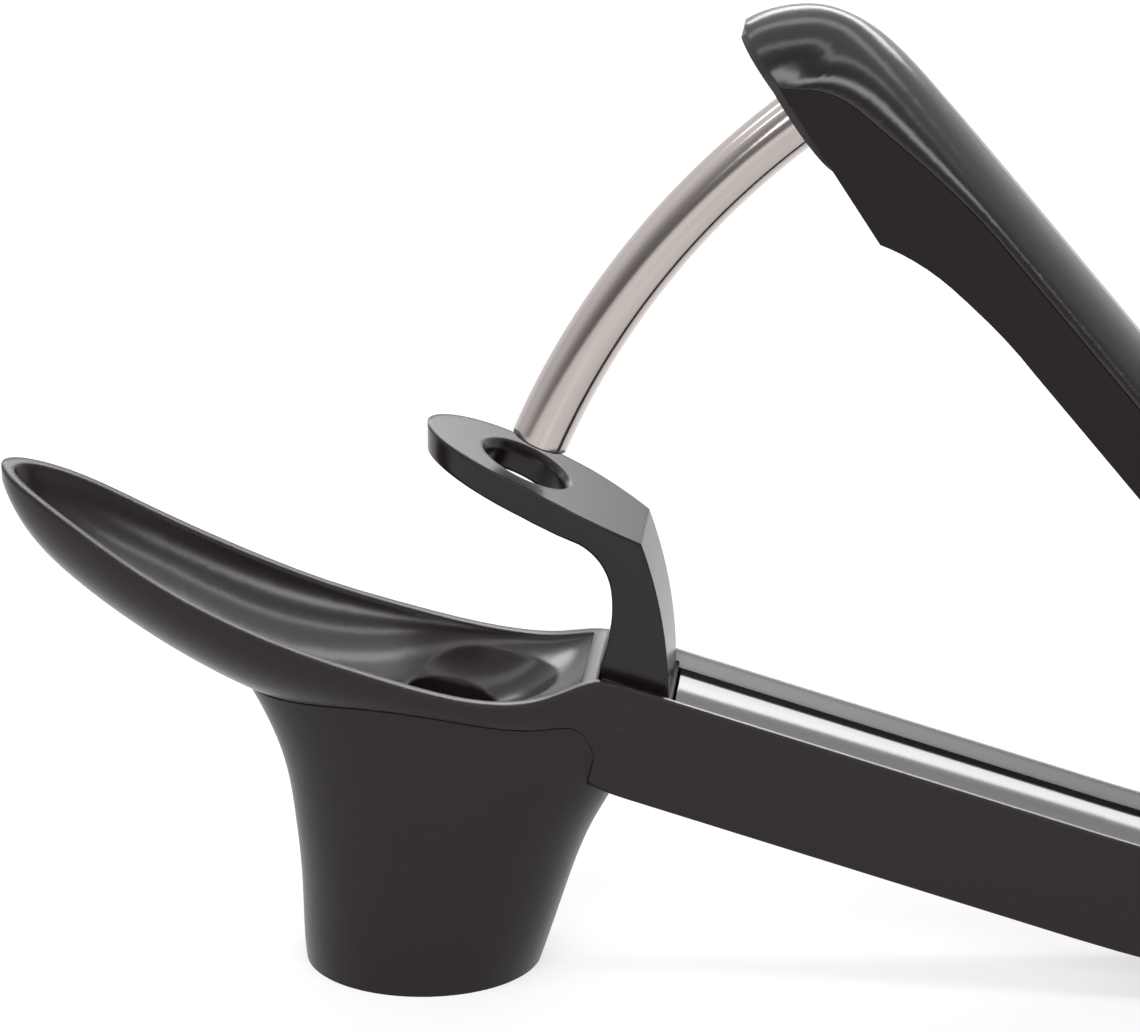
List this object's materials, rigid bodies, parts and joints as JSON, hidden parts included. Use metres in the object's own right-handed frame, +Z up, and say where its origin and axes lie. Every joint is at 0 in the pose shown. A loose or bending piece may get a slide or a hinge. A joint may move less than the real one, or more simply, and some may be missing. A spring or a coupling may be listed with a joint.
{
  "type": "cherry pitter with lever",
  "caption": "Hand tool with a spoon-shaped dish and cup, a splash guard, a bridge that guides a bent tube, and a sprung lever that pushes the tube through the cup.",
  "frame": {"origin": "centre of the splash guard's foot, on the table", "axes": "+X along the handle to the hinge, +Y across, away from the camera in the picture, +Z up"},
  "size_m": [0.1948, 0.0284, 0.1185],
  "materials": {
    "body_plastic": "satin charcoal, moulded",
    "guard_plastic": "satin charcoal, moulded",
    "bridge_plastic": "glossy black",
    "inlay_plastic": "high gloss black",
    "lever_plastic": "satin black",
    "cover_plastic": "glossy black",
    "rod_steel": "polished stainless tube",
    "collar_plastic": "black",
    "screw_steel": "zinc plated",
    "pin_steel": "ground steel",
    "spring_steel": "spring wire",
    "bush_plastic": "self-lubricating, pale",
    "washer_plastic": "self-lubricating, pale",
    "cap_plastic": "glossy black",
    "lock_plastic": "glossy black"
  },
  "bodies": {
    "base": {"lower_body": "body_plastic", "splash_guard": "guard_plastic", "guide_bridge": "bridge_plastic", "handle_inlay": "inlay_plastic", "bridge_screws": "screw_steel", "inlay_screws": "screw_steel", "hinge_pin": "pin_steel", "pin_clip": "spring_steel", "hinge_cap_left": "cap_plastic", "hinge_cap_right": "cap_plastic", "hinge_washer_left": "washer_plastic", "hinge_washer_right": "washer_plastic", "return_spring": "spring_steel"},
    "lever": {"lever_frame": "lever_plastic", "lever_cover": "cover_plastic", "cover_screws": "screw_steel", "plunger_rod": "rod_steel", "rod_collar": "collar_plastic", "rod_pin": "pin_steel", "hinge_bush": "bush_plastic"},
    "lock": {"lock_slider": "lock_plastic"}
  },
  "joints": [
    {"name": "lever_hinge", "type": "hinge", "parent": "base", "child": "lever", "pos_m": [0.1368, 0, 0.0073], "axis": [0, -1, 0], "range_deg": [0, 22], "stiffness_Nm_per_rad": 0.08, "springref_deg": -34.38, "deforming": ["return_spring"]},
    {"name": "lock_slide", "type": "slide", "parent": "base", "child": "lock", "axis": [0.9893, 0, -0.1459], "range_m": [0, 0.004]}
  ]
}
